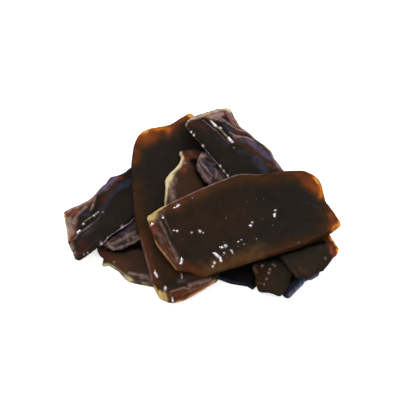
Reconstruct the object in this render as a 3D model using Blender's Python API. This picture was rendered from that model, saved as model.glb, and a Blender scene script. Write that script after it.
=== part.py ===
"""A loose heap of dark, glossy seaweed pieces: thick leathery slabs cut from a dried frond.

Each slab is a springy sheet. Its outline is a polygon with rounded corners in the slab's own plane,
u along its length and v across it. The slabs are laid down one after another: the underside of each
is the smoothest sheet that clears the floor and all that was laid before it, and its upper face is
that underside raised by the slab's thickness. Lengths are in millimetres until a mesh is made.
"""

from dataclasses import dataclass

import bpy
import numpy as np
from mathutils.geometry import delaunay_2d_cdt

METRES = 0.001  # metres in a millimetre

# Driving dimensions, in millimetres
SLAB_THICKNESS = 1.9  # most slabs, away from their edges
THICK_SLAB = 2.2  # the two long slabs
SCRAP_THICKNESS = 0.9
EDGE_SHARE = 0.75  # a slab's thickness at its rim, as a share of its full thickness
LIP_THICKNESS = 0.5  # the thin lip below a slanting cut
SLANT_WIDTH = 3.2  # such a cut, from the upper face down to its lip
REST_GAP = 0.35  # clear space kept between a slab and what it lies on
SIDE_GAP = 0.9  # a slab starts to rise this far before it reaches one below it
MESH_STEP = 1.6  # size of the triangles
TOO_CLOSE = 0.3  # points of a rim nearer to each other than this share of a step become one
RIM_CLEARANCE = 0.6  # inner points keep this share of a step from the rim and from a crease
CREASE_CLEARANCE = 0.4  # a crease's own points keep this share of a step from the rim
SAME_POINT = 1e-6
CORNER_SHARE = 0.48  # a rounded corner uses at most this share of each side that meets there
SHEET_STEP = 1.5  # spacing of the points at which a slab's height is worked out
SHEET_MARGIN = 2  # steps by which those points run past the outline
HELD_MARGIN = 0.5  # steps past the outline over which a slab is still held up
PILE_STEP = 0.5  # spacing of the height map of the heap
PILE_REACH = 45.0  # half the side of that map
EDGE_BAND = 1.3  # a slab thins towards its edge over this width

# How a slab bends, as the sag of a strip of it held at one end
STRIP_LENGTH = 12.0
STRIP_SAG = 1.2

# How the resting shape is found: a stiff support below, and steps that shrink to nothing
SUPPORT_PUSH = 50.0
STEADYING = 1e-5
MOST_FALL = 3.0
MOST_STEPS = 300
CLOSE_ENOUGH = 1e-4
SMALLEST_MOVE = 1e-6


@dataclass
class Slab:
    name: str
    centre: tuple  # x, y of the outline's origin
    turn: float  # degrees from +X to the slab's length
    outline: list  # (u, v, corner radius)
    colour: tuple
    thickness: float = SLAB_THICKNESS
    curl: float = 0.0  # natural curvature along u, 1/mm, positive when the ends droop
    ripples: tuple = ()  # (height, wavelength, direction in degrees, phase in degrees)
    thin_spots: tuple = ()  # (u, v, radius, share of the thickness left)
    slant: tuple = ()  # (u, v) and (u, v) of the line where a slanting cut leaves the upper face


# Colours of the pieces, as linear red, green and blue
NEAR_BLACK = (0.008, 0.007, 0.007)
DARK_BROWN = (0.022, 0.015, 0.013)
BROWN = (0.03, 0.018, 0.013)
RED_BROWN = (0.055, 0.026, 0.017)
BLUE_BROWN = (0.022, 0.016, 0.018)
MAUVE_GREY = (0.07, 0.046, 0.05)

# In the order in which they are laid down. An outline's points are u, v and the corner's radius.
SLABS = [
    Slab(
        "lowest_slab",
        centre=(22.4, -17.9),
        turn=30,
        outline=[
            (-6.3, -1.5, 1), (-5.5, -4.0, 0.5), (0.0, -2.2, 1), (4.0, -2.2, 1), (5.7, -0.3, 2),
            (4.6, 3.2, 3), (1.6, 5.5, 3), (-2.3, 4.4, 3),
        ],
        colour=NEAR_BLACK,
    ),
    Slab(
        "dark_slab",
        centre=(7.9, -17.9),
        turn=10,
        outline=[
            (-6.4, 3.9, 3), (-5.3, -0.1, 1), (-1.3, -2.5, 1), (2.1, -3.8, 0), (3.2, -4.9, 0),
            (4.4, -3.9, 1), (6.6, 0.2, 2), (6.2, 4.4, 3), (1.1, 6.5, 3), (-4.3, 6.4, 3),
        ],
        colour=NEAR_BLACK,
    ),
    Slab(
        "lower_left_slab",
        centre=(-15.6, -14.6),
        turn=-20,
        outline=[
            (-8.7, 0.1, 0.5), (-6.6, -1.8, 0), (-6.2, -3.8, 0), (-4.8, -3.1, 0), (-2.1, -3.7, 1),
            (1.1, -5.2, 0.5), (7.1, -4.4, 1), (9.2, -3.0, 1), (9.9, 0.3, 2), (8.2, 5.7, 3),
            (4.4, 9.7, 3), (0.2, 10.3, 3), (-3.4, 7.9, 3), (-5.9, 5.4, 3),
        ],
        colour=RED_BROWN,
        thin_spots=((-5.5, -3.0, 2.5, 0.6), (1.5, -5.2, 2.5, 0.6)),
    ),
    Slab(
        "bottom_slab",
        centre=(16.9, -18.3),
        turn=60,
        outline=[
            (-1.9, 4.9, 1), (-3.3, 2.3, 0), (-6.0, 0.1, 0.5), (-5.4, -4.1, 0.5), (0.7, -5.1, 1),
            (4.5, -7.7, 2), (8.1, -8.4, 3), (10.8, -6.8, 3), (10.2, -2.5, 3), (6.6, 2.1, 3),
            (3.0, 4.8, 3),
        ],
        colour=DARK_BROWN,
        ripples=((0.25, 9.0, 20, 60),),
    ),
    Slab(
        "lower_right_slab",
        centre=(24.4, -15.4),
        turn=50,
        outline=[
            (-6.8, -2.0, 1), (-5.3, -4.5, 1), (-2.9, -4.6, 0), (-1.1, -5.5, 0.5), (2.8, -5.2, 0.5),
            (3.9, -5.4, 1), (5.1, -4.9, 0.5), (7.3, -0.7, 2), (9.2, 4.6, 3), (6.1, 7.0, 3),
            (0.8, 8.1, 3), (-3.4, 7.8, 3), (-4.8, 5.5, 2),
        ],
        colour=DARK_BROWN,
        ripples=((0.3, 8.0, 10, 0),),
        thin_spots=((7.0, -1.8, 3.0, 0.5), (-0.5, -5.2, 1.8, 0.6)),
    ),
    Slab(
        "left_scrap",
        centre=(-17.4, -10.4),
        turn=20,
        outline=[
            (-5.5, 0.1, 0.5), (-3.6, -1.9, 0.5), (-0.5, -1.8, 0.5), (5.7, -0.9, 1), (6.7, 4.2, 1),
            (3.5, 5.6, 1), (-3.3, 3.0, 1),
        ],
        colour=MAUVE_GREY,
        thickness=SCRAP_THICKNESS,
        ripples=((0.3, 5.0, 50, 0),),
    ),
    Slab(
        "left_slab",
        centre=(-21.4, -1.4),
        turn=40,
        outline=[
            (-15.0, -7.1, 0.5), (-13.3, -2.0, 1), (-8.7, 6.3, 0.5), (-4.8, 4.9, 2), (-1.6, 4.5, 4),
            (3.6, 5.7, 0.5), (5.6, 6.9, 0.5), (7.6, 5.3, 1), (17.3, 5.4, 3), (18.1, 1.9, 2),
            (12.9, -4.1, 4), (0.8, -7.6, 6),
        ],
        colour=BLUE_BROWN,
        ripples=((0.45, 13.0, 97, -60), (0.2, 11.0, 20, 0)),
        thin_spots=((-9.5, 5.0, 2.5, 0.5), (5.0, 6.2, 1.5, 0.5)),
    ),
    Slab(
        "tall_slab",
        centre=(-7.3, -0.3),
        turn=-78,
        outline=[
            (-16.3, -5.4, 6), (-19.3, -3.5, 4), (-20.4, -1.7, 4), (-20.5, 4.2, 4),
            (-24.6, 10.1, 0.5), (-20.7, 11.1, 2), (-8.0, 12.3, 10), (11.9, 9.9, 8), (16.3, 9.2, 5),
            (22.4, 6.9, 1.5), (25.9, -1.9, 3), (26.1, -4.8, 2), (24.7, -7.3, 1), (21.4, -8.2, 4),
            (4.0, -9.2, 12), (-9.5, -7.3, 12),
        ],
        colour=BROWN,
        thickness=THICK_SLAB,
        ripples=((0.2, 17.0, 75, 40),),
        thin_spots=((-18.6, -3.2, 4.5, 0.45), (-23.6, 9.7, 2.5, 0.45)),
        slant=((21.5, 5.3), (22.3, -5.6)),
    ),
    Slab(
        "middle_slab",
        centre=(-3.5, 1.9),
        turn=-70,
        outline=[
            (-9.7, 1.5, 0.3), (-9.0, 5.5, 2), (-7.3, 7.7, 2), (-2.0, 7.2, 3), (4.2, 6.0, 4),
            (9.7, 2.9, 4), (11.5, -0.7, 3), (10.4, -4.0, 3), (8.2, -6.3, 3), (4.0, -6.8, 3),
            (-2.4, -4.1, 1), (-5.9, 0.2, 2), (-8.2, 1.8, 0.5),
        ],
        colour=RED_BROWN,
        thin_spots=((-9.2, 1.9, 1.5, 0.5), (-1.2, -4.5, 2.0, 0.6)),
    ),
    Slab(
        "back_scrap",
        centre=(1.9, 5.1),
        turn=-40,
        outline=[
            (-3.4, -0.9, 1), (-5.2, 3.8, 1), (-2.0, 4.6, 1), (3.1, 3.2, 1), (5.4, 1.1, 1),
            (4.0, -2.3, 1), (0.3, -2.9, 1),
        ],
        colour=MAUVE_GREY,
        thickness=SCRAP_THICKNESS,
        ripples=((0.3, 4.5, 80, 0),),
    ),
    Slab(
        "back_slab",
        centre=(10.1, 9.1),
        turn=-55,
        outline=[
            (-15.2, -6.7, 1), (-16.7, -3.1, 2), (-17.0, 7.3, 0.5), (-15.7, 7.6, 1), (-9.7, 6.3, 4),
            (-4.8, 6.6, 4), (-0.3, 8.3, 1), (1.7, 7.3, 1), (5.1, 7.0, 3), (14.2, 7.9, 3),
            (16.9, 4.0, 3), (17.1, -0.5, 3), (13.8, -4.8, 4), (2.1, -6.2, 8),
        ],
        colour=BLUE_BROWN,
        ripples=((0.45, 13.0, 93, -60), (0.2, 12.0, 10, 90)),
        thin_spots=((-16.2, 6.6, 2.5, 0.5), (0.5, 7.7, 1.5, 0.5)),
    ),
    Slab(
        "front_slab",
        centre=(10.8, -9.2),
        turn=12,
        outline=[
            (-22.5, 5.7, 0.5), (-18.0, 7.3, 8), (0.2, 12.5, 4), (4.9, 11.9, 4), (10.3, 12.3, 6),
            (16.3, 12.0, 4), (18.8, 10.1, 4), (19.4, 8.4, 3), (18.8, 2.3, 1.5), (21.1, -4.1, 0.5),
            (18.0, -6.0, 4), (10.7, -8.3, 10), (1.8, -9.2, 10), (-13.0, -10.5, 1.5),
            (-15.5, -8.8, 2), (-18.3, -7.9, 1), (-21.7, -1.1, 8),
        ],
        colour=DARK_BROWN,
        thickness=THICK_SLAB,
        curl=0.002,
        ripples=((0.2, 19.0, 60, 20),),
        thin_spots=((18.0, 9.2, 4.5, 0.45), (20.6, -4.0, 2.5, 0.5)),
        slant=((-16.7, -6.2), (-19.0, 4.2)),
    ),
]


def rounded(outline, step):
    """Points about step apart round a polygon whose corners are rounded to their own radii."""
    corners = np.array(outline, float)
    count = len(corners)
    stretches = []
    for i in range(count):
        here, radius = corners[i, :2], corners[i, 2]
        back = corners[i - 1, :2] - here
        ahead = corners[(i + 1) % count, :2] - here
        back_length, ahead_length = np.hypot(*back), np.hypot(*ahead)
        cosine = back @ ahead / (back_length * ahead_length)
        half_angle = np.arccos(np.clip(cosine, -1, 1)) / 2
        longest = CORNER_SHARE * min(back_length, ahead_length)
        reach = min(radius / np.tan(half_angle), longest)
        start = here + back / back_length * reach
        end = here + ahead / ahead_length * reach
        pieces = max(1, round(2 * reach / step))
        t = np.linspace(0, 1, pieces + 1)[:, None]
        stretches.append((1 - t) ** 2 * start + 2 * t * (1 - t) * here + t**2 * end)
    ring = []
    for i in range(count):
        ring.extend(stretches[i])
        gap_start, gap_end = stretches[i][-1], stretches[(i + 1) % count][0]
        pieces = max(1, round(np.hypot(*(gap_end - gap_start)) / step))
        ring.extend(gap_start + (gap_end - gap_start) * k / pieces for k in range(1, pieces))
    ring = np.array(ring)
    ring = ring[np.hypot(*(ring - np.roll(ring, 1, axis=0)).T) > TOO_CLOSE * step]
    u, v = ring.T
    anticlockwise = u @ np.roll(v, -1) > v @ np.roll(u, -1)
    return ring if anticlockwise else ring[::-1]


def inside(points, ring):
    """Whether each point lies inside the closed ring."""
    x, y = points[:, :1], points[:, 1:2]
    ax, ay = ring.T
    bx, by = np.roll(ring, -1, axis=0).T
    spans = (ay > y) != (by > y)
    with np.errstate(divide="ignore", invalid="ignore"):
        crossing = ax + (y - ay) * (bx - ax) / (by - ay)
    return (spans & (x < crossing)).sum(axis=1) % 2 == 1


def distance_to(points, ring):
    """Distance from each point to the nearest side of the ring."""
    a = ring
    side = np.roll(ring, -1, axis=0) - a
    offset = points[:, None, :] - a[None]
    along = np.clip((offset * side).sum(2) / (side**2).sum(1), 0, 1)
    return np.linalg.norm(offset - along[..., None] * side, axis=2).min(axis=1)


def thickness_at(slab, points, ring):
    """The slab's thickness at points of its own plane."""
    share = np.ones(len(points))
    for u, v, radius, left in slab.thin_spots:
        off = np.hypot(points[:, 0] - u, points[:, 1] - v)
        share *= 1 - (1 - left) * np.exp(-((off / radius) ** 2))
    into_edge = np.clip(1 - distance_to(points, ring) / EDGE_BAND, 0, 1)
    share *= 1 - (1 - EDGE_SHARE) * into_edge**2
    thickness = slab.thickness * share
    if slab.slant:
        (u0, v0), (u1, v1) = slab.slant
        length = np.hypot(u1 - u0, v1 - v0)
        beyond = ((u1 - u0) * (points[:, 1] - v0) - (v1 - v0) * (points[:, 0] - u0)) / length
        ramp = np.clip(beyond / SLANT_WIDTH, 0, 1)
        thickness = thickness * (1 - ramp) + LIP_THICKNESS * ramp
    return thickness


def natural_height(slab, u, v):
    """The shape that the slab has grown and dried to, before it is laid down."""
    height = -0.5 * slab.curl * u**2
    for size, wavelength, direction, phase in slab.ripples:
        turned = np.radians(direction)
        travel = u * np.cos(turned) + v * np.sin(turned)
        height = height + size * np.sin(2 * np.pi * travel / wavelength + np.radians(phase))
    return height


def in_world(slab, points):
    turn = np.radians(slab.turn)
    axes = np.array([[np.cos(turn), np.sin(turn)], [-np.sin(turn), np.cos(turn)]])
    return points @ axes + slab.centre


def in_slab(slab, points):
    turn = np.radians(slab.turn)
    axes = np.array([[np.cos(turn), -np.sin(turn)], [np.sin(turn), np.cos(turn)]])
    return (points - slab.centre) @ axes


class HeightMap:
    """Heights on a square grid, read between its points in straight lines."""

    def __init__(self, low, step, heights):
        self.low, self.step, self.heights = np.array(low, float), step, heights

    def at(self, points):
        place = (points - self.low) / self.step
        most = np.array(self.heights.shape) - 2
        cell = np.clip(np.floor(place).astype(int), 0, most)
        part = np.clip(place - cell, 0, 1)
        i, j = cell.T
        s, t = part.T
        z = self.heights
        near = z[i, j] * (1 - s) + z[i + 1, j] * s
        far = z[i, j + 1] * (1 - s) + z[i + 1, j + 1] * s
        return near * (1 - t) + far * t

    def points(self):
        rows, columns = self.heights.shape
        i, j = np.meshgrid(np.arange(rows), np.arange(columns), indexing="ij")
        return np.stack([i.ravel(), j.ravel()], axis=1) * self.step + self.low

    def widened(self, reach):
        """The highest height within reach of each point."""
        cells = int(np.ceil(reach / self.step))
        padded = np.pad(self.heights, cells, mode="edge")
        rows, columns = self.heights.shape
        best = self.heights.copy()
        for i in range(-cells, cells + 1):
            for j in range(-cells, cells + 1):
                if np.hypot(i, j) * self.step <= reach:
                    shifted = padded[cells + i : cells + i + rows, cells + j : cells + j + columns]
                    best = np.maximum(best, shifted)
        return HeightMap(self.low, self.step, best)


def bending_matrix(rows, columns, step):
    """The matrix K for which z K z is the bending of a sheet with free edges and heights z."""
    index = np.arange(rows * columns).reshape(rows, columns)
    along = [(index[:-2], 1), (index[1:-1], -2), (index[2:], 1)]
    across = [(index[:, :-2], 1), (index[:, 1:-1], -2), (index[:, 2:], 1)]
    root = np.sqrt(2)
    twist = [
        (index[:-1, :-1], root),
        (index[1:, :-1], -root),
        (index[:-1, 1:], -root),
        (index[1:, 1:], root),
    ]
    total = np.zeros((rows * columns, rows * columns))
    for stencil in (along, across, twist):
        difference = np.zeros((stencil[0][0].size, rows * columns))
        for nodes, weight in stencil:
            difference[np.arange(nodes.size), nodes.ravel()] += weight
        total += difference.T @ difference
    return total / step**2


def lay_down(slab, ring, pile):
    """The height map of the slab's underside, in its own plane, as it rests on the pile."""
    margin = SHEET_MARGIN * SHEET_STEP
    low = ring.min(axis=0) - margin
    size = np.ceil((ring.max(axis=0) + margin - low) / SHEET_STEP).astype(int) + 1
    sheet = HeightMap(low, SHEET_STEP, np.zeros(size))
    points = sheet.points()
    below = pile.widened(SIDE_GAP).at(in_world(slab, points))
    support = np.where(below > 0, below + REST_GAP, 0.0)
    covered = inside(points, ring)
    held = covered | (distance_to(points, ring) < HELD_MARGIN * SHEET_STEP)
    weight = covered * 8 * STRIP_SAG / STRIP_LENGTH**4 * SHEET_STEP**2
    natural = natural_height(slab, *points.T)
    stiffness = bending_matrix(*size, SHEET_STEP)

    def energy(height):
        bent = height - natural
        sunk = np.maximum(support - height, 0) * held
        return 0.5 * bent @ stiffness @ bent + weight @ height + 0.5 * SUPPORT_PUSH * sunk @ sunk

    height = support[held].max() + natural - natural[held].min()
    for _ in range(MOST_STEPS):
        touching = (held & (height < support)).astype(float)
        system = stiffness + np.diag(SUPPORT_PUSH * touching + STEADYING)
        load = stiffness @ natural - weight + SUPPORT_PUSH * touching * support + STEADYING * height
        step = np.linalg.solve(system, load) - height
        if np.abs(step).max() < CLOSE_ENOUGH:
            break
        step *= min(1.0, MOST_FALL / np.abs(step).max())
        while energy(height + step) > energy(height) and np.abs(step).max() > SMALLEST_MOVE:
            step *= 0.5
        height = height + step
    sheet.heights = np.where(held, np.maximum(height, support), height).reshape(size)
    return sheet


def slopes(slab, sheet, points):
    """The sheet's slope along x and along y at points of the slab's own plane."""
    half = 0.5 * SHEET_STEP
    along_u = (sheet.at(points + [half, 0]) - sheet.at(points - [half, 0])) / (2 * half)
    along_v = (sheet.at(points + [0, half]) - sheet.at(points - [0, half])) / (2 * half)
    turn = np.radians(slab.turn)
    along_x = along_u * np.cos(turn) - along_v * np.sin(turn)
    along_y = along_u * np.sin(turn) + along_v * np.cos(turn)
    return along_x, along_y


def lay_on_pile(slab, ring, sheet, pile):
    """Adds the slab's upper face to the height map of the heap."""
    points = in_slab(slab, pile.points())
    points = points[np.abs(points).max(axis=1) < np.hypot(*ring.T).max()]
    points = points[inside(points, ring)]
    along_x, along_y = slopes(slab, sheet, points)
    upright = 1 / np.sqrt(1 + along_x**2 + along_y**2)
    raised = thickness_at(slab, points, ring) * upright
    top = in_world(slab, points) - np.column_stack([along_x, along_y]) * raised[:, None]
    i, j = np.round((top - pile.low) / pile.step).astype(int).T
    np.maximum.at(pile.heights, (i, j), sheet.at(points) + raised)


def lattice(ring, step):
    """Points of a triangular lattice inside the ring, clear of its sides."""
    low, high = ring.min(axis=0), ring.max(axis=0)
    rise = step * np.sqrt(3) / 2
    rows = np.arange(low[1] + rise / 2, high[1], rise)
    columns = np.arange(low[0], high[0] + step, step)
    u, v = np.meshgrid(columns, rows)
    u = u + np.where(np.arange(len(rows)) % 2, step / 2, 0)[:, None]
    points = np.stack([u.ravel(), v.ravel()], axis=1)
    return points[inside(points, ring) & (distance_to(points, ring) > RIM_CLEARANCE * step)]


def triangles_of(slab, ring):
    """Points in the slab's plane and the triangles between them, with the rim's points first."""
    points = [tuple(p) for p in ring]
    rim = [(i, (i + 1) % len(ring)) for i in range(len(ring))]
    inner = lattice(ring, MESH_STEP)
    crease = []
    if slab.slant:
        start, end = np.array(slab.slant[0]), np.array(slab.slant[1])
        pieces = round(np.hypot(*(end - start)) / MESH_STEP)
        line = start + (end - start) * np.linspace(0, 1, pieces + 1)[:, None]
        clear = distance_to(line, ring) > CREASE_CLEARANCE * MESH_STEP
        line = line[inside(line, ring) & clear]
        apart = np.linalg.norm(inner[:, None] - line[None], axis=2).min(axis=1)
        inner = inner[apart > RIM_CLEARANCE * MESH_STEP]
        first = len(points)
        points += [tuple(p) for p in line]
        crease = [(first + i, first + i + 1) for i in range(len(line) - 1)]
    points += [tuple(p) for p in inner]
    whole = [range(len(ring))]
    vertices, _, faces, *_ = delaunay_2d_cdt(points, rim + crease, whole, 1, SAME_POINT)
    return np.array([tuple(v) for v in vertices]), [tuple(f) for f in faces]


def seaweed(name, colour):
    """A glossy, faintly translucent brown."""
    material = bpy.data.materials.new(name)
    material.use_nodes = True
    shader = material.node_tree.nodes["Principled BSDF"]
    shader.inputs["Base Color"].default_value = (*colour, 1.0)
    shader.inputs["Roughness"].default_value = 0.3
    shader.inputs["Coat Weight"].default_value = 0.5
    shader.inputs["Coat Roughness"].default_value = 0.15
    return material


def build_piece(slab, ring, sheet):
    """The slab as an object: its underside as a sheet, thickened upwards."""
    points, faces = triangles_of(slab, ring)
    under = np.column_stack([in_world(slab, points), np.maximum(sheet.at(points), 0)])
    mesh = bpy.data.meshes.new(slab.name)
    mesh.from_pydata((under * METRES).tolist(), [], faces)
    mesh.materials.append(seaweed(slab.name, slab.colour))
    piece = bpy.data.objects.new(slab.name, mesh)
    bpy.context.collection.objects.link(piece)
    share = piece.vertex_groups.new(name="thickness")
    for corner, thickness in enumerate(thickness_at(slab, points, ring)):
        share.add([corner], thickness / slab.thickness, "REPLACE")
    solid = piece.modifiers.new("thickness", "SOLIDIFY")
    solid.thickness = slab.thickness * METRES
    solid.offset = 1
    solid.vertex_group = share.name
    return piece


def centre_plan(pieces):
    """Moves the pieces so that the middle of the heap's plan is at the origin."""
    bpy.context.view_layer.update()
    graph = bpy.context.evaluated_depsgraph_get()
    corners = np.vstack([np.array(piece.evaluated_get(graph).bound_box) for piece in pieces])
    middle = (corners.min(axis=0) + corners.max(axis=0)) / 2
    for piece in pieces:
        piece.location = (-middle[0], -middle[1], 0)


def build_heap():
    across = round(2 * PILE_REACH / PILE_STEP) + 1
    pile = HeightMap([-PILE_REACH, -PILE_REACH], PILE_STEP, np.zeros((across, across)))
    pieces = []
    for slab in SLABS:
        ring = rounded(slab.outline, MESH_STEP)
        sheet = lay_down(slab, ring, pile)
        lay_on_pile(slab, ring, sheet, pile)
        pieces.append(build_piece(slab, ring, sheet))
    centre_plan(pieces)


for leftover in list(bpy.data.objects):
    bpy.data.objects.remove(leftover)
build_heap()
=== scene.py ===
# %% [markdown]
# # A heap of dried seaweed
# The heap is twelve cut pieces of a thick, leathery frond. They are dark and glossy, they glow amber
# where they are thin, and a few cut rims have dried to a pale buff. The solids that the heap is built
# round are loaded first, and every piece below is made from the solid that it stands for.

# %% Load the solids
import math

import bpy
import numpy as np
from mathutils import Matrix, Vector
from mathutils.bvhtree import BVHTree


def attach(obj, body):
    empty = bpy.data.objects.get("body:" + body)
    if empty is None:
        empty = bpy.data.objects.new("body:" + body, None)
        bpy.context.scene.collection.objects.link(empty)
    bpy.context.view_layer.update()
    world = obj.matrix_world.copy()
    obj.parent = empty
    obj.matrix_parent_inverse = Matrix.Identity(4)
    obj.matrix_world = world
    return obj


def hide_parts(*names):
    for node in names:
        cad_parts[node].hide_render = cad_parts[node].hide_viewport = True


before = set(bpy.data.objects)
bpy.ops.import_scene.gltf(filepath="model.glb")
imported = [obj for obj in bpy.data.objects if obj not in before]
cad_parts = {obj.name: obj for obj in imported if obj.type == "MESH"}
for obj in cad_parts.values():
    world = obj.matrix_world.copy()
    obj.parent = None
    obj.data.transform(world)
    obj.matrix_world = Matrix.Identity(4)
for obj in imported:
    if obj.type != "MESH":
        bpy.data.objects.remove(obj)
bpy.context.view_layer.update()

MM = 0.001
print("solids:", ", ".join(sorted(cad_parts)))

# %% [markdown]
# ## The camera
# The heap is seen from the front and well above, at 60 degrees, from far enough away that its far
# side hardly shrinks. The focal length follows from the distance and from how many pixels wide a
# millimetre of the heap should be.

# %% Camera
PICTURE = 400  # pixels, each way
PIXELS_PER_MM = 4.3
DISTANCE = 420 * MM
ELEVATION = math.radians(60)
AIM = Vector((-0.19, -1.38, 5.0)) * MM  # what the middle of the picture shows
SENSOR = 36.0  # mm

to_camera = Vector((0, -math.cos(ELEVATION), math.sin(ELEVATION)))
camera = bpy.data.objects.new("camera", bpy.data.cameras.new("camera"))
bpy.context.scene.collection.objects.link(camera)
camera.data.sensor_width = SENSOR
camera.data.lens = SENSOR * PIXELS_PER_MM * DISTANCE / MM / PICTURE
camera.data.clip_start = 10 * MM
camera.location = AIM + DISTANCE * to_camera
camera.rotation_euler = to_camera.to_track_quat("Z", "Y").to_euler()
bpy.context.scene.camera = camera
print("lens:", round(camera.data.lens, 1), "mm")

# %% [markdown]
# ## From a solid to a fine mesh
# Each solid is a slab with flat facets and square rims. A cut frond has soft rims and a skin that
# undulates, so a copy of the solid is merged, cut into even little squares by a voxel remesh, and
# smoothed. A remesh was chosen rather than a subdivision because it gives squares of one size, rims
# included, and these carry the wrinkles and the colour marks that follow. A first smoothing takes the
# edge off everything, and as many rounds with a negative factor then swell it back, because smoothing
# alone would shrink the corners. A second one moves points up and down only, and only away from the
# cut rim, so it melts the facets of the faces and leaves the rim as crisp as it was cut.

# %% Merge, remesh and smooth
SQUARE = 0.15  # mm, side of the little squares
EASING = 7  # rounds of smoothing in every direction, and of swelling back
SWELL_BACK = -0.52  # a little more than the smoothing's 0.5 took off
MELTING = 60  # rounds of smoothing up and down, inside the rim


def pick(piece):
    bpy.ops.object.select_all(action="DESELECT")
    piece.select_set(True)
    bpy.context.view_layer.objects.active = piece


def modify(piece, kind, **settings):
    """Adds a modifier with these settings and applies it."""
    pick(piece)
    modifier = piece.modifiers.new(kind.lower(), kind)
    for name, value in settings.items():
        setattr(modifier, name, value)
    bpy.ops.object.modifier_apply(modifier=modifier.name)


def merged_copy(node):
    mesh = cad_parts[node].data.copy()
    mesh.materials.clear()
    piece = bpy.data.objects.new(node + "_skin", mesh)
    bpy.context.scene.collection.objects.link(piece)
    pick(piece)
    bpy.ops.object.mode_set(mode="EDIT")
    bpy.ops.mesh.select_all(action="SELECT")
    bpy.ops.mesh.remove_doubles(threshold=0.01 * MM)
    bpy.ops.object.mode_set(mode="OBJECT")
    return piece


print("squares of", SQUARE, "mm, and", MELTING, "rounds to melt the facets")

# %% [markdown]
# ## Noise, in arrays
# A frond is uneven at every scale. A texture could shape it, but then the shape and the colours
# would not know of each other. So one function gives smooth random lumps at any place: random values
# sit on a cubic lattice and are blended between its points. A second one makes soft thresholds.

# %% Lumps
LATTICE = np.array([127.1, 311.7, 74.7])
SEED_STEP = 53.3
SCRAMBLE = 43758.5453


def lumps(places, size, seed):
    """Smooth noise from -1 to 1, in lumps of about this size."""
    cell, part = np.divmod(places / size, 1.0)
    part = part * part * (3 - 2 * part)
    total = np.zeros(len(places))
    for corner in np.ndindex(2, 2, 2):
        value = np.sin((cell + corner) @ LATTICE + SEED_STEP * seed) * SCRAMBLE
        weight = np.prod(np.where(corner, part, 1 - part), axis=1)
        total += weight * (2 * (value % 1.0) - 1)
    return total


def smooth(value, low, high):
    """0 below low, 1 above high, and a smooth rise between."""
    t = np.clip((value - low) / (high - low), 0, 1)
    return t * t * (3 - 2 * t)


print("noise at three places:", lumps(np.eye(3), 1.3, 7).round(2))

# %% Melting the facets
def melt(piece, inward):
    """Smooths the faces up and down, where inward, in mm from the cut rim, says they are."""
    group = piece.vertex_groups.new(name="face")
    levels = np.round(10 * smooth(inward, 0.1, 0.8))
    for level in range(1, 11):
        group.add(np.flatnonzero(levels == level).tolist(), level / 10, "REPLACE")
    vertical = {"use_x": False, "use_y": False, "vertex_group": "face"}
    modify(piece, "SMOOTH", factor=0.5, iterations=MELTING, **vertical)
    piece.vertex_groups.clear()


# %% [markdown]
# ## A slab as arrays, and masks on it
# A frond's relief and colours follow lines, such as a ridge, a fold or the cut rim. Sculpting and
# painting by hand would do for one slab. Here each line is drawn in plan, as points x, y on the heap
# seen from above, which is how a slab is looked at, and a mask says how near each vertex is to it.
# The class below holds a fine mesh as arrays in millimetres and makes the masks, from 0 to 1.

# %% The form class
# The marks: amber glow where light comes through thin places; buff and rust, the frond's own colours; a
# mauve that is partly the frond's tint and partly a painted sheen; slate and violet blue, painted
# reflections of a bluish sky; a pinkish grey that is partly dried bloom and partly a painted highlight;
# white painted glints; and black painted shade.
MARKS = (
    "glow", "buff", "mauve_and_sheen", "slate_sheen", "blue", "bloom_and_highlight", "rust", "painted_glint", "shade",
    "glint",  # wet, and bumpy enough to catch the light
    "wall",  # the side of the cut rim, without gloss
    "rim_highlight",  # painted highlight on the rim's upper corner
)
WALL = 0.62  # a face whose normal rises less than this belongs to the cut rim


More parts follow.
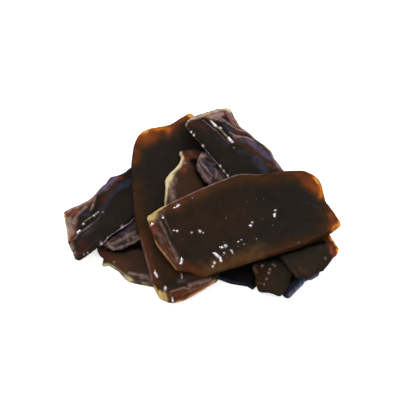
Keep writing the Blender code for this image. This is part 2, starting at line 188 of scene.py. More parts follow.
class Form:
    def __init__(self, node, square=SQUARE):
        self.node = node
        self.piece = merged_copy(node)
        mesh = self.piece.data
        walls = [list(f.vertices) for f in mesh.polygons if abs(f.normal.z) < WALL]
        rim = BVHTree.FromPolygons([v.co.copy() for v in mesh.vertices], walls)
        modify(self.piece, "REMESH", mode="VOXEL", voxel_size=square * MM, use_smooth_shade=True)
        modify(self.piece, "SMOOTH", factor=0.5, iterations=EASING)
        modify(self.piece, "SMOOTH", factor=SWELL_BACK, iterations=EASING)
        mesh = self.piece.data
        self.inward = np.array([rim.find_nearest(v.co)[3] for v in mesh.vertices]) / MM
        melt(self.piece, self.inward)
        self.places = self.read(mesh.vertices, "co") / MM
        self.normals = self.read(mesh.vertex_normals, "vector")
        self.sway = np.column_stack([lumps(self.places, 1.3, seed) for seed in (7, 8)])
        self.patchy = self.uneven(0.9, 9, 0.4)
        self.gentle = self.uneven(2.4, 10, 0.12)

    @staticmethod
    def read(items, name):
        values = np.empty(3 * len(items), np.float32)
        items.foreach_get(name, values)
        return values.reshape(-1, 3).astype(float)

    def near(self, line, width, stray=0.0):
        """1 on a line drawn in plan, falling away over about its width; it strays by this much."""
        points = np.array(line, float)
        plan = self.places[:, :2] + stray * self.sway
        if len(points) == 1:
            distance = np.hypot(*(plan - points[0]).T)
        else:
            distance = np.full(len(plan), np.inf)
            for start, end in zip(points[:-1], points[1:]):
                run = end - start
                along = np.clip((plan - start) @ run / (run @ run), 0, 1)
                off = plan - start - along[:, None] * run
                distance = np.minimum(distance, np.hypot(*off.T))
        return np.exp(-((distance / width) ** 2))

    def streaks(self, heading, along, across, seed):
        """Noise drawn out in plan along a heading, in degrees from +X."""
        turn = math.radians(heading)
        x, y, z = self.places.T
        u = (x * math.cos(turn) + y * math.sin(turn)) / along
        v = (y * math.cos(turn) - x * math.sin(turn)) / across
        return lumps(np.column_stack([u, v, z / across]), 1.0, seed)

    def beyond(self, start, end, fade):
        """0 left of a line in plan and 1 right of it, seen from its start, over this many mm."""
        run = np.array(end, float) - np.array(start, float)
        x, y = (self.places[:, :2] - start).T
        return smooth((x * run[1] - y * run[0]) / np.hypot(*run), -fade, fade)

    def rim(self, width):
        """1 on the cut rim, falling away over about this width."""
        return np.exp(-((self.inward / width) ** 2))

    def uneven(self, size, seed, share=0.5):
        """A factor round 1 that varies by this share in lumps of this size."""
        return 1 + share * lumps(self.places, size, seed)

    def under(self, patch=0.5):
        """1 at the foot of the cut rim: low in its small patch of the plan, and not facing up."""
        column, row = np.floor(self.places[:, :2] / patch).astype(int).T
        column, row = column - column.min(), row - row.min()
        spot = column * (row.max() + 1) + row
        lowest = np.full(spot.max() + 1, np.inf)
        np.minimum.at(lowest, spot, self.places[:, 2])
        low = 1 - smooth(self.places[:, 2] - lowest[spot], 0.3, 0.8)
        up = self.normals[:, 2]
        return low * (1 - smooth(up, 0.3, 0.5)) * smooth(up, -0.9, -0.5)


print("marks:", ", ".join(MARKS))

# %% [markdown]
# ## Relief and marks
# Three kinds of change make a slab look real: its surface is lifted or pressed in, its rim is moved a
# little, and its colour is marked. A mark is a number from 0 to 1 at every vertex, kept on the mesh as
# an attribute, so the material can read it and still add its own fine grain. A painted line sways
# and fades a little by noise, because nothing on a frond is ruled. Tiny blisters are real bumps in
# the mesh that catch the lamp, and each also carries a painted white glint on its crown, which shows
# from any side.

# %% The slab class
SWAY = 0.3  # how far a painted line strays, as a share of its width
EDGE_REACH = 1.5  # mm, how far from a drawn line the cut rim is still marked
CUT_RELIEF = 0.15  # mm, how far a slanting cut is crumpled
BLISTER = 0.34  # height of a blister as a share of its size
BLISTER_WIDTH = 0.72  # how wide its slopes are, as a share of its size
GLINT_SPOT_RISE = 0.08  # mm, how far a spot on the rim that carries a painted glint stands out


class Slab(Form):
    def __init__(self, node, square=SQUARE):
        super().__init__(node, square)
        self.lift = np.zeros(len(self.places))
        self.blister = np.zeros(len(self.places))
        self.moved = np.zeros_like(self.places)
        self.marks = {name: np.zeros(len(self.places)) for name in MARKS}
        up = self.normals[:, 2]
        self.marks["wall"] = 1 - smooth(np.abs(up), 0.25, 0.75)
        # The rim's upper corner, which carries a painted highlight.
        self.marks["rim_highlight"] = smooth(up, 0.15, 0.5) * (1 - smooth(up, 0.85, 0.98)) * self.rim(0.5)

    def raise_by(self, height, where):
        """Lifts the surface by this many mm where the mask is 1; a negative height presses it in."""
        self.lift += height * where

    def waves(self, height, size, seed):
        """Lets the whole skin undulate by this many mm, in lumps of this size."""
        self.raise_by(height, lumps(self.places, size, seed))

    def ridge(self, height, width, *line):
        self.raise_by(height, self.near(line, width))

    def push(self, distance, width, *line):
        """Moves the cut rim outwards by this many mm near a line."""
        level = smooth(np.abs(self.normals[:, 2]), 0.5, 0.95)
        self.raise_by(distance, self.near(line, width) * (1 - level))

    def shift(self, east, north, width, *line):
        """Moves the slab in plan by these many mm near a line, its top and its underside together."""
        self.moved += self.near(line, width)[:, None] * [east, north, 0]

    def mark(self, name, amount):
        self.marks[name] = np.maximum(self.marks[name], amount)

    def paint(self, name, *strokes):
        """Marks lines drawn in plan, each given as how strong and how wide it is, and its points."""
        fading = self.gentle if name == "glow" else self.patchy
        for amount, width, *line in strokes:
            self.mark(name, amount * fading * self.near(line, width, SWAY * width))

    def edge(self, name, amount, reach, *line):
        """Marks the cut rim, and this many mm of the face beside it, along a line."""
        self.mark(name, amount * self.patchy * self.near(line, EDGE_REACH) * self.rim(reach))

    def hem(self, name, amount, width, *line):
        """Marks the foot of the cut rim along a line."""
        self.mark(name, amount * self.patchy * self.near(line, width) * self.under())

    def crumple(self, cut, heading, seed, glow, rust):
        """Folds a slanting cut along its heading: rust in the hollows, and a painted highlight on folds
        and threads.
        """
        folds = self.streaks(heading, 2.2, 0.45, seed)
        threads = self.streaks(heading, 1.6, 0.22, seed + 1)
        self.raise_by(CUT_RELIEF, cut * folds)
        self.mark("glow", glow * cut)
        self.mark("rust", rust * cut * smooth(-folds, -0.5, 0.4))
        self.mark("bloom_and_highlight", 0.4 * cut * smooth(folds, 0.0, 0.8))
        self.mark("bloom_and_highlight", 0.34 * cut * smooth(threads, 0.1, 0.7))

    def swell(self, size, *line):
        """A tiny blister, this many mm wide, at a point or drawn out along a line: a painted white glint
        on its crown, and slopes just steep enough to glint."""
        width = BLISTER_WIDTH * size
        ragged = 1 + 0.5 * lumps(self.places, 0.5, 19)
        height = BLISTER * size * ragged * self.near(line, width, 0.3 * size)
        self.blister = np.maximum(self.blister, height)
        self.mark("glint", self.near(line, width))
        self.mark("painted_glint", min(0.9, 1.7 * size) * ragged * self.near(line, 0.5 * size, 0.25 * size))

    def blisters(self, *spots):
        """Blisters given as x, y, size."""
        for x, y, size in spots:
            self.swell(size, (x, y))

    def spots(self, *places):
        """Painted white glints on the cut rim, given as x, y, size, on spots which stand out a little."""
        for x, y, size in places:
            here = self.near([(x, y)], size) * self.rim(0.3)
            self.mark("painted_glint", 1.2 * here)
            self.raise_by(GLINT_SPOT_RISE, here)

    def tell(self, *names):
        """Prints how much of the skin each of these marks covers."""
        shares = [f"{name} {100 * np.mean(self.marks[name] > 0.2):.1f}%" for name in names]
        print(self.node, "is marked with", ", ".join(shares))

    def finish(self, material):
        mesh = self.piece.data
        moved = self.places + self.moved + (self.lift + self.blister)[:, None] * self.normals
        moved[:, 2] = np.maximum(moved[:, 2], 0)  # nothing sinks into the table
        mesh.vertices.foreach_set("co", (moved * MM).astype(np.float32).ravel())
        mesh.update()
        for name, value in {**self.marks, "inward": self.inward}.items():
            attribute = mesh.attributes.new(name, "FLOAT", "POINT")
            attribute.data.foreach_set("value", np.maximum(value, 0).astype(np.float32))
        mesh.materials.append(material)
        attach(self.piece, "root")
        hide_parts(self.node)
        print(self.piece.name, "has", len(mesh.polygons), "faces")


# %% [markdown]
# ## Colours as they look
# A colour is easiest to judge as it looks on the screen, but a material wants it as light, before the
# lamps brighten it. One function turns the first into the second, so that the colours below can be
# written as they should come out.

# %% Colours as they look
LIGHT_LEVEL = 1.22  # how bright a white face that looks up is, with the lights below


def on_screen(red, green, blue):
    """The base colour that looks like this, 0 to 255, on a face that looks up into the lights."""
    parts = [v / 255 for v in (red, green, blue)]
    linear = [v / 12.92 if v <= 0.04045 else ((v + 0.055) / 1.055) ** 2.4 for v in parts]
    return (*[v / LIGHT_LEVEL for v in linear], 1.0)


print("a grey of 128 on the screen is", round(on_screen(128, 128, 128)[0], 3), "as light")

# %% [markdown]
# ## Shader nodes written as sums
# Nodes could be placed and linked one by one, but a mask that depends on others is easier to read as
# a sum. A small class wraps a socket, and each sum adds its Math nodes. Every other node comes from
# one method, which takes the node's type, its settings and what its sockets get.

# %% The wire class
class Wire:
    def __init__(self, tree, socket):
        self.tree, self.socket = tree, socket

    def node(self, kind, settings, sockets, output=0):
        made = self.tree.nodes.new(kind)
        for name, value in settings.items():
            setattr(made, name, value)
        for name, value in sockets.items():
            if isinstance(value, Wire):
                self.tree.links.new(value.socket, made.inputs[name])
            else:
                made.inputs[name].default_value = value
        return Wire(self.tree, made.outputs[output] if made.outputs else None)

    def maths(self, operation, first, second):
        return self.node("ShaderNodeMath", {"operation": operation}, {0: first, 1: second})

    def __add__(self, other):
        return self.maths("ADD", self, other)

    def __radd__(self, other):
        return self.maths("ADD", other, self)

    def __sub__(self, other):
        return self.maths("SUBTRACT", self, other)

    def __rsub__(self, other):
        return self.maths("SUBTRACT", other, self)

    def __mul__(self, other):
        return self.maths("MULTIPLY", self, other)

    def __rmul__(self, other):
        return self.maths("MULTIPLY", other, self)

    def attribute(self, name):
        return self.node("ShaderNodeAttribute", {"attribute_name": name}, {}, "Fac")

    def between(self, low, high):
        """0 where this wire is below low, 1 above high, smooth between."""
        sockets = {"Value": self, "From Min": low, "From Max": high}
        settings = {"interpolation_type": "SMOOTHSTEP"}
        return self.node("ShaderNodeMapRange", settings, sockets)

    def noise(self, size, detail=2.0, roughness=0.5):
        """Noise in lumps of this size in millimetres, from 0 to 1, fixed to the object."""
        place = self.node("ShaderNodeTexCoord", {}, {}, "Object")
        sockets = {"Vector": place, "Scale": 1 / (size * MM), "Detail": detail, "Roughness": roughness}
        return self.node("ShaderNodeTexNoise", {}, sockets, "Fac")

    def mix(self, amount, first, second, blend="MIX"):
        settings = {"data_type": "RGBA", "blend_type": blend}
        return self.node("ShaderNodeMix", settings, {0: amount, 6: first, 7: second}, 2)


# %% [markdown]
# ## The frond's skin
# Under gloss and moisture the frond is a dark, slightly clear jelly. Light that gets through a thin
# place comes out brown, then amber, then yellow, so one ramp runs through those colours and is read
# by how thin the slab looks: the distance to the cut rim plus the amber marks. A blotchy tint keeps
# the dark faces from being one flat colour. Over it come rust and buff cut faces, the frond's own
# colours; mauve, partly the frond's tint and partly a painted reflection of a bluish sky; slate and
# violet blue, painted reflections of that sky; a pinkish grey, partly bloom where it has dried and
# partly a painted highlight on rims and folds; painted white glints; and painted black shade where
# pieces lie under or against each other. The gloss is a clear coat over a duller base. Fine bumps
# break the coat's reflections, and where a slab is marked with glints they are deep enough to catch
# the light.

# %% Skin material
DEEP = on_screen(34, 29, 26)  # a thick place, and the next five are ever thinner ones
BROWN = on_screen(50, 36, 23)
CHESTNUT = on_screen(74, 42, 24)
RUST = on_screen(106, 53, 24)
AMBER = on_screen(154, 84, 26)
YELLOW = on_screen(202, 147, 62)
RED_RUST = on_screen(118, 58, 46)
# mauve, partly the frond's tint and partly a painted sheen
MAUVE_AND_SHEEN = on_screen(98, 82, 100)
# slate and violet blue: painted reflections of a bluish sky
SLATE_SHEEN = on_screen(50, 54, 70)
VIOLET_BLUE_SHEEN = on_screen(88, 102, 150)
# pinkish grey, partly dried bloom and partly a painted highlight
BLOOM_AND_HIGHLIGHT = on_screen(142, 115, 107)
BUFF = on_screen(206, 190, 146)
OLIVE_BUFF = on_screen(196, 170, 106)
# white, for painted glints
PAINTED_GLINT_WHITE = on_screen(250, 238, 242)
# black, for painted shade
BLACK = on_screen(9, 8, 8)
COOL = (0.92, 0.96, 0.97, 1.0)  # the blotches multiply the colour by something between these two
WARM = (1.12, 1.04, 1.02, 1.0)
EDGE_WIDTH = 2.6  # mm, how far in from the rim the frond is a little browner
GLINT_COAT = 0.9  # how strong the clear coat is where a slab is marked with glints


def skin(name, deep=DEEP, buff=BUFF, rim_highlight=0.3, edge_glow=0.0, shine=0.3):
    """The frond's skin: the three numbers after buff are how strong the painted highlight on the rim's
    upper corner is, how brown the rim is, and how strong the coat is away from the glints."""
    material = bpy.data.materials.new(name)
    material.use_nodes = True
    tree = material.node_tree
    tree.nodes.clear()
    start = Wire(tree, None)
    cloud = start.noise(3.2, 3.0)
    grain = start.noise(0.55, 3.0)
    wall = start.attribute("wall")
    edge = 1 - start.attribute("inward").between(0.0, EDGE_WIDTH)  # 1 at the cut rim
    glow = start.attribute("glow")
    thin = edge * edge_glow + glow  # 0 where the slab is thick, 1 where it is thinnest
    thin = thin + (cloud - 0.5) * (0.12 + 0.14 * glow) + (grain - 0.5) * 0.04
    ramp = start.node("ShaderNodeValToRGB", {}, {"Fac": thin})
    elements = ramp.socket.node.color_ramp.elements
    stops = [(0.0, deep), (0.22, BROWN), (0.42, CHESTNUT), (0.6, RUST), (0.8, AMBER), (1.0, YELLOW)]
    for place, _ in stops[1:-1]:
        elements.new(place)
    for element, (place, colour) in zip(elements, stops):
        element.position = place
        element.color = colour
    blotch = start.mix(start.noise(1.6, 4.0).between(0.35, 0.65), COOL, WARM)
    colour = start.mix(1.0, ramp, blotch, "MULTIPLY")
    broken = (grain - 0.5) * 0.8
    # A painted highlight on the rim's upper corner, in the same pinkish grey.
    pale = start.attribute("rim_highlight") * (0.5 + cloud) * rim_highlight
    colour = start.mix(pale.between(0.0, 1.0), colour, BLOOM_AND_HIGHLIGHT)
    # The frond's own colours, painted sheens and highlights, painted white glints and painted shade, laid
    # over the ramp in this order.
    for mark, tint in [
        ("rust", RED_RUST), ("mauve_and_sheen", MAUVE_AND_SHEEN), ("slate_sheen", SLATE_SHEEN), ("blue", VIOLET_BLUE_SHEEN), ("bloom_and_highlight", BLOOM_AND_HIGHLIGHT),
        ("buff", buff), ("shade", BLACK), ("painted_glint", PAINTED_GLINT_WHITE),
    ]:
        weight = start.attribute(mark)
        cover = (weight + broken * weight).between(0.0, 1.0)  # the grain breaks up its border
        colour = start.mix(cover, colour, tint)
    dull = start.attribute("bloom_and_highlight") + start.attribute("buff") + start.attribute("shade")
    roughness = 0.4 + 0.2 * dull + (grain - 0.5) * 0.12
    glint = start.attribute("glint")
    matt = (wall + 1.4 * start.attribute("buff")).between(0.0, 1.0)
    gloss = (1 - matt) * (shine + (GLINT_COAT - shine) * glint - 0.1 * dull)
    bumps = start.noise(0.3, 1.0) * (0.06 + 0.9 * glint) + start.noise(1.8, 2.0) * 0.25
    sockets = {"Height": bumps, "Strength": 0.35, "Distance": 0.12 * MM}
    normal = start.node("ShaderNodeBump", {}, sockets)
    shader = start.node(
        "ShaderNodeBsdfPrincipled",
        {},
        {
            "Base Color": colour,
            "Roughness": roughness,
            "Normal": normal,
            "Specular IOR Level": 0.0,
            "Coat Weight": gloss,
            "Coat Roughness": 0.12,
            "Coat IOR": 1.45,
        },
    )
    start.node("ShaderNodeOutputMaterial", {}, {"Surface": shader})
    print(name, "has", len(tree.nodes), "shader nodes")
    return material


# %% [markdown]
# ## The slab on top
# The front slab is the one that is seen whole. Its left end is a slanting cut, crumpled and reddish,
# with a sharp upper ridge, grey streaks of painted sheen and a thin amber lip. Its upper left corner
# is buff. The upper right corner and the right tip are thin enough to glow. A shallow dent and a
# crease mark the middle, and the wet face catches the light in little groups of glints, each a bump
# with a painted white crown.

# %% Front slab
front = Slab("front_slab")
front.waves(0.07, 5.0, 1)
front.ridge(-0.22, 2.4, (0.0, -14.5))
front.ridge(-0.06, 0.22, (11.1, -11.0), (12.0, -12.9), (12.8, -16.2))

cut = front.near([(-10.8, -9.3), (-9.7, -12.2), (-8.5, -15.0), (-6.8, -17.8), (-5.1, -20.8)], 1.4)
cut_ridge = [(-9.3, -10.4), (-8.6, -11.6), (-7.7, -13.6), (-7.0, -15.3), (-6.1, -16.9), (-5.2, -19.6)]
front.crumple(cut, heading=-62, seed=3, glow=0.38, rust=0.3)
front.ridge(0.2, 0.3, *cut_ridge)
front.ridge(0.12, 0.25, (-8.4, -9.4), (-7.9, -10.6), (-7.2, -12.2), (-6.5, -13.6))
print("left cut:", int((cut > 0.5).sum()), "vertices")

# %% [markdown]
# ## The front slab's colours
# Amber and brown come first, as marks that make the slab look thin: strong at the corner and the tip,
# weak along the lower rim. The rims follow: a thin amber and buff lip round the cut, a painted
# highlight on its ridges, and a painted highlight along the upper rim. Painted shade lies along the
# foot of the lower rim. A broad soft line does for a glow and a narrow one for a dried rim, so one
# way of painting serves both.

# %% The front slab's amber and browns
corner = front.beyond((28.6, -3.8), (19.8, 4.4), 1.5) * front.near([(26.2, 0.8)], 7.0)
right_rim = [(25.6, 4.8), (26.9, 3.7), (27.6, 2.2), (28.0, 0.4), (27.9, -1.6)]
front.mark("glow", 0.61 * corner)
front.paint(
    "glow",
    (0.8, 1.3, *right_rim[1:]),
    (0.6, 1.2, *right_rim),
    (0.94, 0.75, (26.8, 3.4), (27.2, 2.5)),
    (0.5, 1.6, (22.8, 4.0), (24.8, 4.0)),
    (0.36, 1.1, (17.5, 4.2), (21.9, 4.3), (24.3, 4.5)),
    (0.36, 2.0, (-7.0, -7.2), (-4.0, -5.7), (1.0, -3.2)),
    (0.26, 2.0, (1.0, -2.8), (7.7, 0.2), (20.8, 3.2)),
    (0.13, 7.0, (-3.0, -11.0), (7.0, -9.0)),
    (0.31, 2.2, (-1.0, -21.6), (5.5, -20.2), (13.4, -17.4)),
    (0.25, 1.8, (13.4, -17.4), (22.5, -15.2), (28.3, -13.0)),
    (1.05, 0.9, (31.9, -8.6), (31.6, -9.8)),
    (0.78, 1.0, (31.0, -9.2), (30.3, -10.8)),
    (0.56, 1.3, (29.9, -7.0), (30.5, -9.0), (29.8, -11.0)),
    (0.62, 0.7, (29.8, -5.0), (30.9, -6.5), (31.7, -8.0)),
    (0.26, 2.0, (29.0, -6.0), (29.2, -9.0), (28.2, -12.0)),
    (0.37, 1.3, (-3.6, -20.6), (-1.1, -21.6), (1.2, -22.0)),
)
front.paint("buff", (0.12, 2.4, (2.0, -21.0), (5.5, -20.2), (13.4, -17.4)))
front.paint(
    "rust",
    (0.3, 0.9, (29.6, -7.6), (30.0, -9.2)),
    (0.12, 1.0, (-3.6, -20.8), (-1.1, -21.6)),
)
front.tell("glow", "rust")

# %% The front slab's rims and streaks
left_lip = [(-12.0, -9.8), (-11.8, -11.4), (-11.1, -13.4), (-9.7, -15.5), (-7.0, -18.9), (-5.5, -21.2)]
front.paint("glow", (0.52, 0.45, *left_lip))
front.paint(
    "buff",
    (0.42, 0.22, *left_lip),
    (1.1, 0.85, (-12.0, -9.2), (-11.2, -8.9), (-10.6, -8.5)),
    (0.9, 0.5, (-10.4, -7.9), (-9.2, -7.0), (-8.4, -6.3)),
)
# Painted highlights: pale grey on the cut's ridges and streaks.
front.paint(
    "bloom_and_highlight",
    (0.35, 0.6, (-10.6, -10.2), (-9.6, -9.2), (-8.6, -7.8)),
    (0.46, 0.3, *cut_ridge),
    (0.42, 0.5, (-6.5, -16.4), (-5.8, -17.6), (-5.3, -18.8)),
    (0.32, 0.22, (-8.4, -9.4), (-7.9, -10.6), (-7.2, -12.2), (-6.5, -13.6)),
)
front.paint("mauve_and_sheen", (0.28, 0.45, (-10.0, -11.8), (-9.3, -13.1), (-8.8, -15.0)))
front.paint("rust", (0.75, 0.7, (-11.1, -10.9), (-10.4, -12.4)))
# A painted highlight along the upper rim.
highlight_rim = [(-7.8, -6.4), (-4.8, -4.8), (-0.2, -2.2), (4.4, 0.2), (9.1, 2.3), (13.0, 3.6)]
front.edge("bloom_and_highlight", 0.6, 0.4, *highlight_rim)
# A thin painted slate-blue sheen.
front.paint("slate_sheen", (0.45, 0.3, (25.8, -4.5), (27.4, -5.7)))
# Painted shade at the foot of the lower rim, where the front slab stands over the pieces below and its
# wall lies in shadow.
front.hem("shade", 1.0, 1.6, (4.0, -22.4), (8.8, -20.8), (12.2, -19.8), (18.0, -18.0))
front.hem("shade", 0.55, 1.4, (20.0, -17.4), (22.0, -16.8), (30.0, -13.2))
far_rims = [(-8.0, -6.0), (2.0, -1.0), (14.0, 4.0), (24.0, 5.0), (28.4, 0.0), (30.0, -6.0)]
front.edge("wall", 2.0, 0.8, *far_rims)
front.tell("buff", "bloom_and_highlight", "mauve_and_sheen", "slate_sheen", "shade")

# %% [markdown]
# ## The front slab's glints
# The wet face has tiny blisters, in small groups, and a few have run together. Each glint is a real
# bump that catches the lamp, with a painted white glint on its crown as well.

# %% The front slab's glints
front.swell(0.42, (-11.4, -10.7), (-10.9, -10.5))
front.swell(0.42, (-5.9, -7.1), (-4.9, -6.4))
front.swell(0.55, (-4.4, -19.3), (-4.5, -20.0))
front.swell(0.58, (3.2, -17.8), (4.0, -18.6))
front.swell(0.56, (4.3, -18.8), (4.5, -19.5))
front.swell(0.38, (17.0, -7.4), (16.95, -8.4))
front.swell(0.34, (7.0, -16.9), (7.2, -17.6))
front.mark("wall", 1.4 * front.near([(-8.6, -8.0), (-9.6, -8.8), (-9.8, -10.2)], 0.7))
front.blisters(
    (-8.6, -9.6, 0.48), (4.8, -16.2, 0.6), (5.6, -15.9, 0.85), (3.0, -20.0, 0.58), (2.7, -20.8, 0.55),
    (17.15, -6.5, 0.44), (11.4, -10.6, 0.6), (11.7, -9.8, 0.45),
    (-6.1, -12.6, 0.4), (-5.3, -12.7, 0.5), (-2.1, -12.9, 0.46), (-0.3, -12.4, 0.66), (0.5, -12.7, 0.4),
    (-4.0, -14.4, 0.2), (5.3, -17.6, 0.4), (5.0, -18.1, 0.26), (5.8, -18.3, 0.24), (5.2, -14.8, 0.26),
    (8.6, -14.7, 0.34), (9.3, -14.3, 0.34), (9.9, -15.3, 0.3), (8.4, -15.8, 0.2), (16.4, -10.6, 0.22),
    (12.8, -14.0, 0.2), (22.2, -15.0, 0.26), (-1.8, -4.6, 0.24), (2.5, -8.9, 0.18), (-0.9, -7.7, 0.16),
    (5.7, -8.9, 0.24), (4.2, -5.2, 0.16), (10.6, -4.7, 0.2), (12.7, -3.8, 0.2), (14.5, -3.7, 0.18),
    (14.0, -8.9, 0.2), (24.4, -4.1, 0.18),
)
front.finish(skin("front_skin", buff=OLIVE_BUFF, rim_highlight=0.15, edge_glow=0.08))

# %% [markdown]
# ## The long slab under it
# The tall slab has the same shape turned round: the slanting cut is at its near end, the buff corner
# at the lower left, and the amber corner and yellow tip are at its far end. A turned copy of the front
# slab would bring every wrinkle and glint along, so it is made anew in the same way. It is the
# largest piece, so its squares are a little bigger, which keeps its mesh under 200,000 triangles.

# %% Tall slab
tall = Slab("tall_slab", square=0.16)
tall.waves(0.07, 5.0, 11)
near_cut = tall.near([(-8.4, -25.6), (-5.4, -25.2), (-2.2, -24.0), (1.4, -22.2)], 1.3)
tall.crumple(near_cut, heading=22, seed=13, glow=0.46, rust=0.26)
tall.ridge(0.16, 0.3, (-6.8, -24.6), (-4.7, -23.4), (-1.3, -22.4), (2.4, -21.4))
print("near cut:", int((near_cut > 0.5).sum()), "vertices")

# %% The tall slab's amber and browns
far_corner = tall.near([(-12.4, 17.0)], 6.4) * (1 - tall.beyond((-14.4, 10.2), (-7.2, 18.6), 1.4))
far_rim_line = [(-15.0, 15.6), (-14.1, 17.4), (-13.0, 18.6), (-11.7, 19.1), (-10.2, 19.3), (-8.9, 19.2)]
tall.mark("glow", 0.64 * far_corner)
tall.paint(
    "glow",
    (0.82, 2.3, *far_rim_line[1:], (-8.0, 18.8)),
    (1.0, 0.85, (-13.9, 17.9), (-12.9, 18.5)),
    (0.42, 1.6, (-15.6, 14.4), (-15.4, 11.0), (-15.4, 8.0)),
    (0.44, 1.1, (-7.2, 19.8), (-5.6, 21.4), (-3.8, 23.4)),
    (1.1, 1.3, (-3.2, 25.0), (-2.2, 24.9), (-2.5, 24.2)),
    (0.2, 2.0, (-15.2, 0.8), (-14.9, -3.1), (-14.2, -8.0), (-13.2, -12.7)),
    (0.3, 2.0, (-11.6, -9.6), (-11.2, -13.6)),
    (0.32, 1.9, (-13.2, -11.0), (-12.4, -16.0), (-11.4, -19.6), (-9.9, -23.2)),
    (0.24, 2.8, (-11.0, -15.0), (-8.6, -19.8), (-4.0, -21.2)),
    # painted light: a brown glow that lifts the shadow the front slab casts here
    (0.36, 1.4, (-3.2, -21.2), (-1.6, -20.9), (0.4, -20.6)),
)
tall.paint(
    "rust",
    (0.35, 0.8, (-6.4, 20.2), (-4.6, 21.8), (-3.8, 22.8)),
    (0.17, 1.7, (-12.9, -13.0), (-11.6, -18.6), (-10.0, -22.2)),
)
# A thin painted slate-blue sheen.
tall.paint("slate_sheen", (0.45, 0.35, (-7.1, 17.4), (-7.8, 16.1)))
tall.tell("glow", "rust", "slate_sheen")

# %% The tall slab's rims and streaks
near_lip = [(-5.6, -27.1), (-3.1, -26.0), (-1.1, -24.6), (1.0, -23.3), (3.2, -21.6)]
left_rim = [(-16.4, 11.5), (-16.5, 5.0), (-16.1, -1.8), (-15.6, -6.4), (-14.2, -12.8)]
low_rim = [(-14.2, -12.8), (-13.4, -15.6), (-12.4, -18.6), (-11.4, -20.6), (-10.6, -22.8)]
tall.paint("glow", (0.7, 0.6, *near_lip))
tall.paint(
    "buff",
    (0.55, 0.28, *near_lip),
    (0.8, 0.32, (-10.7, -23.8), (-9.9, -25.0), (-9.2, -26.2)),
    (1.1, 0.5, (-9.4, -25.2), (-8.8, -26.2)),
    (0.8, 0.5, (-8.4, -25.4), (-7.8, -26.6)),
)
tall.edge("wall", 2.0, 1.0, *left_rim, *low_rim[1:])
tall.edge("bloom_and_highlight", 0.42, 0.3, *low_rim)
tall.edge("wall", 2.0, 0.8, (-14.8, 18.6), (-9.0, 19.6), (-6.0, 21.6), (-3.0, 25.4))
tall.paint(
    "bloom_and_highlight",
    (0.55, 0.25, (-6.8, -24.9), (-5.6, -24.4), (-3.8, -23.8), (-2.5, -23.9)),
    (0.66, 0.5, (-2.5, -23.2), (-0.2, -22.3), (2.1, -21.5)),
    # painted light: pale grey that lifts the front slab's shadow here
    (0.24, 0.8, (-5.0, -22.4), (-2.5, -21.7), (0.6, -21.0)),
)
tall.paint("mauve_and_sheen", (0.4, 0.5, (-4.9, -22.8), (-4.4, -22.3), (-3.9, -22.6)))
tall.paint("rust", (0.22, 0.8, (-6.0, -25.7), (-4.3, -25.4)))
# Blisters with a painted white glint on each crown.
tall.swell(0.5, (-10.5, -20.6), (-9.9, -21.6))
tall.swell(0.6, (-8.2, -24.5), (-8.0, -24.3))
tall.swell(0.45, (-6.5, -26.0), (-6.3, -26.8))
tall.swell(0.4, (-4.4, -20.7), (-4.3, -21.7))
tall.blisters(
    (-9.9, -1.1, 0.2), (-13.5, 0.8, 0.18), (-13.7, -13.9, 0.3), (-13.3, -15.0, 0.24), (-11.3, -16.6, 0.2),
)
tall.finish(skin("tall_skin", buff=OLIVE_BUFF, rim_highlight=0.12, edge_glow=0.06))

# %% [markdown]
# ## The two banded slabs
# The back and left slabs were cut from the frond's wavy margin. One side is a dark panel. The other
# waves in long ridges, mauve where they face up, partly the frond's tint and partly a painted
# reflection of a bluish sky, and slate blue in the hollows, a painted reflection of that sky. Their
# outer ends have dried to a pinkish grey, with a red corner, and a thin pale line of painted
# highlight, with painted glints, runs along the foot of the cut rim. The waves are long ridges and
# grooves pressed into the mesh, because they show at the rim as well.

# %% Back slab
back = Slab("back_slab")
ridge = [(0.3, 20.3), (2.4, 19.4), (4.6, 17.6), (6.6, 15.4), (7.6, 14.0)]
wave = [(4.2, 20.2), (7.3, 17.0), (10.9, 16.1), (12.9, 15.2), (16.0, 12.6), (18.3, 8.4)]
back.waves(0.06, 4.0, 21)
back.ridge(0.34, 0.42, *ridge)
back.ridge(0.14, 0.35, (0.5, 19.4), (2.4, 17.8), (4.8, 15.6), (6.7, 13.6))
back.ridge(-0.18, 0.6, (3.8, 14.8), (6.0, 12.8), (8.0, 11.6), (11.8, 10.0), (15.6, 6.9))
back.ridge(0.34, 0.8, *wave)
back.ridge(-0.18, 0.6, (6.0, 17.4), (8.6, 15.2), (11.9, 13.4), (15.0, 10.6), (17.0, 7.6))
end_crumple = back.near([(-3.4, 18.2), (0.2, 21.4), (6.0, 25.0)], 2.2)
back.raise_by(0.14, end_crumple * back.streaks(-48, 2.4, 0.7, 23))
back.shift(-0.75, -0.4, 2.2, (8.6, 23.4), (9.6, 21.4))
print("back slab's relief:", back.lift.min().round(2), "to", back.lift.max().round(2), "mm")

